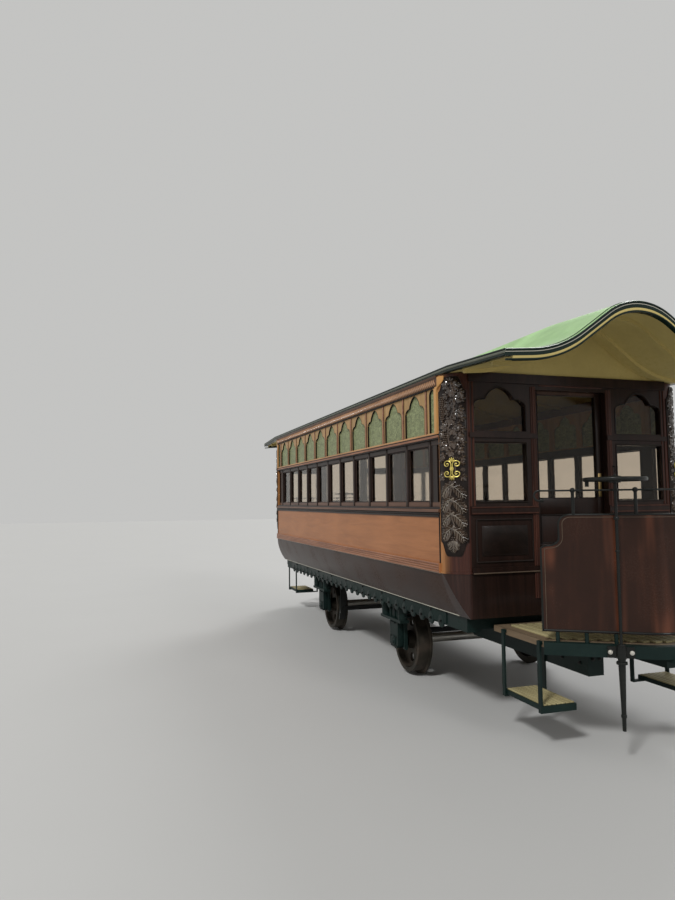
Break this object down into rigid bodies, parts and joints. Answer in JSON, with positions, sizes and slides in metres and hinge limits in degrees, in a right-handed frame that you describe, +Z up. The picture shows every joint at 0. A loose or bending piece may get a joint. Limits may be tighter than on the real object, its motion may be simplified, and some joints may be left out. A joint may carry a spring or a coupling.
{
  "type": "four-wheel single-deck horse tram",
  "caption": "Single-deck horse tram: timber saloon with arched lights and slatted seats under an ogee roof, sliding end doors, open platforms with curved dashes and handbrake wheels.",
  "frame": {"origin": "on the floor under the middle of the car, level with the lowest points of the wheel flanges", "axes": "+X along the car towards one platform, +Y across it, +Z up"},
  "size_m": [8.2042, 2.248, 3.1253],
  "materials": {
    "waist_wood": "varnished",
    "arch_wood": "varnished",
    "mould_wood": "varnished",
    "post_wood": "dark varnish",
    "mahogany": "dark varnish",
    "rocker_paint": "gloss",
    "frame_green": "satin",
    "black_iron": "gloss",
    "wheel_iron": "worn",
    "axle_steel": "turned",
    "dash_paint": "gloss",
    "roof_paint": "painted canvas over boards",
    "lining_cream": "painted",
    "floor_wood": "bare boards",
    "seat_wood": "varnished slats",
    "clear_glass": "clear",
    "frosted_glass": "frosted"
  },
  "bodies": {
    "car": {"arch_board_left": "arch_wood", "arch_board_right": "arch_wood", "axle_boxes": "frame_green", "axle_guards": "frame_green", "brake_column_front": "black_iron", "brake_column_rear": "black_iron", "brake_gear": "black_iron", "bulkhead_front": "mahogany", "bulkhead_lights": "clear_glass", "bulkhead_rear": "mahogany", "bumper_beam_front": "frame_green", "bumper_beam_rear": "frame_green", "corner_post_front_left": "mahogany", "corner_post_front_right": "mahogany", "corner_post_rear_left": "mahogany", "corner_post_rear_right": "mahogany", "cornice_left": "mould_wood", "cornice_right": "mould_wood", "dash_front": "dash_paint", "dash_rail_front": "black_iron", "dash_rail_rear": "black_iron", "dash_rear": "dash_paint", "end_board_front": "lining_cream", "end_board_rear": "lining_cream", "lower_lights": "clear_glass", "platform_floor_front": "floor_wood", "platform_floor_rear": "floor_wood", "rocker_panel_left": "rocker_paint", "rocker_panel_right": "rocker_paint", "roof": "roof_paint", "roof_sticks": "lining_cream", "saloon_floor": "floor_wood", "seat_left": "seat_wood", "seat_right": "seat_wood", "steps_front": "frame_green", "steps_rear": "frame_green", "underframe": "frame_green", "upper_lights": "frosted_glass", "waist_panel_left": "waist_wood", "waist_panel_right": "waist_wood", "window_frame_left": "post_wood", "window_frame_right": "post_wood"},
    "front_wheelset": {"front_wheels": "wheel_iron", "front_axle": "axle_steel"},
    "rear_wheelset": {"rear_wheels": "wheel_iron", "rear_axle": "axle_steel"},
    "front_door": {"door_front": "mahogany", "door_glass_front": "clear_glass"},
    "rear_door": {"door_rear": "mahogany", "door_glass_rear": "clear_glass"}
  },
  "joints": [
    {"name": "front_wheelset_turn", "type": "hinge", "parent": "car", "child": "front_wheelset", "pos_m": [1.255, 0, 0.33], "axis": [0, 1, 0], "continuous": true},
    {"name": "rear_wheelset_turn", "type": "hinge", "parent": "car", "child": "rear_wheelset", "pos_m": [-1.255, 0, 0.33], "axis": [0, 1, 0], "continuous": true},
    {"name": "front_door_slide", "type": "slide", "parent": "car", "child": "front_door", "axis": [0, 1, 0], "range_m": [0, 0.62]},
    {"name": "rear_door_slide", "type": "slide", "parent": "car", "child": "rear_door", "axis": [0, -1, 0], "range_m": [0, 0.62]}
  ]
}
